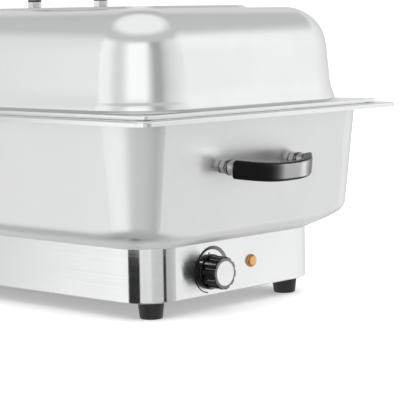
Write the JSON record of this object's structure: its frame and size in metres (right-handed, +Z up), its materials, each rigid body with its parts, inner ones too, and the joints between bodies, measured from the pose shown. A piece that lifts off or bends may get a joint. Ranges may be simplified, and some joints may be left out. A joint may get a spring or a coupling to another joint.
{
  "type": "electric food warmer tray",
  "caption": "Free-standing electric food warmer: water pan on a low heated base with thermostat knob and pilot lamp, lift-out food pan, domed lift-off lid and bow handles.",
  "frame": {"origin": "on the table under the middle of the object", "axes": "+X along the length towards the end with the knob, +Z up, +Y towards the far long side"},
  "size_m": [0.5904, 0.3644, 0.3257],
  "materials": {
    "satin_steel": "polished stainless steel, slightly softer",
    "plated_steel": "zinc-plated steel",
    "element_sheath": "heat-tinted steel sheath",
    "black_plastic": "moulded black phenolic, semi-gloss",
    "element_end": "ceramic bead and terminal pin",
    "polished_steel": "polished stainless steel",
    "rubber": "black moulded rubber",
    "gland_plastic": "black nylon",
    "shield_steel": "aluminised sheet",
    "knob_disc": "spun aluminium disc",
    "lamp_plastic": "dark heat-resistant plastic",
    "amber_lens": "amber translucent lens",
    "lead_control": "grey glass-braid insulation",
    "lead_earth": "green and yellow insulation",
    "lead_live": "brown insulation",
    "lead_neutral": "blue insulation",
    "bright_steel": "bright nickel-plated steel",
    "block_plastic": "off-white polyamide",
    "thermostat_plastic": "cream ceramic-filled plastic"
  },
  "bodies": {
    "base": {"base_band": "satin_steel", "bottom_cover": "plated_steel", "capillary_tube": "element_sheath", "clamp_bars": "plated_steel", "clamp_nuts": "plated_steel", "cover_screws": "plated_steel", "earth_nut": "plated_steel", "earth_stud": "plated_steel", "element_terminals": "element_end", "foot_back_left": "rubber", "foot_back_right": "rubber", "foot_front_left": "rubber", "foot_front_right": "rubber", "foot_nuts": "plated_steel", "foot_screws": "plated_steel", "foot_washers": "plated_steel", "gland_body": "gland_plastic", "gland_dome_nut": "gland_plastic", "gland_locknut": "gland_plastic", "heat_shield": "shield_steel", "heating_element": "element_sheath", "lamp_clip": "plated_steel", "lamp_holder": "lamp_plastic", "lamp_lens": "amber_lens", "lead_control": "lead_control", "lead_earth": "lead_earth", "lead_heater": "lead_control", "lead_live": "lead_live", "lead_neutral": "lead_neutral", "left_handle_ferrules": "bright_steel", "left_handle_grip": "black_plastic", "left_handle_nuts": "bright_steel", "left_handle_screws": "bright_steel", "left_handle_washers": "bright_steel", "pan_studs": "plated_steel", "right_handle_ferrules": "bright_steel", "right_handle_grip": "black_plastic", "right_handle_nuts": "bright_steel", "right_handle_screws": "bright_steel", "right_handle_washers": "bright_steel", "sensor_bulb": "element_sheath", "shield_nuts": "plated_steel", "terminal_block": "block_plastic", "terminal_screws": "plated_steel", "thermal_cutout": "thermostat_plastic", "thermostat_body": "thermostat_plastic", "thermostat_screws": "plated_steel", "top_frame": "polished_steel", "water_pan": "satin_steel"},
    "food_pan": {"food_pan": "polished_steel"},
    "lid": {"lid_shell": "polished_steel", "lid_handle_ferrules": "bright_steel", "lid_handle_grip": "black_plastic", "lid_handle_nuts": "bright_steel", "lid_handle_screws": "bright_steel", "lid_handle_washers": "bright_steel"},
    "knob": {"control_knob": "black_plastic", "knob_cap": "knob_disc", "thermostat_shaft": "plated_steel"}
  },
  "joints": [
    {"name": "food_pan_lift", "type": "slide", "parent": "base", "child": "food_pan", "axis": [0, 0, 1], "range_m": [0, 0.12]},
    {"name": "lid_lift", "type": "slide", "parent": "food_pan", "child": "lid", "axis": [0, 0, 1], "range_m": [0, 0.15]},
    {"name": "knob_turn", "type": "hinge", "parent": "base", "child": "knob", "pos_m": [0.2279, -0.0419, 0.0388], "axis": [-1, 0, 0], "range_deg": [-150, 120]}
  ]
}
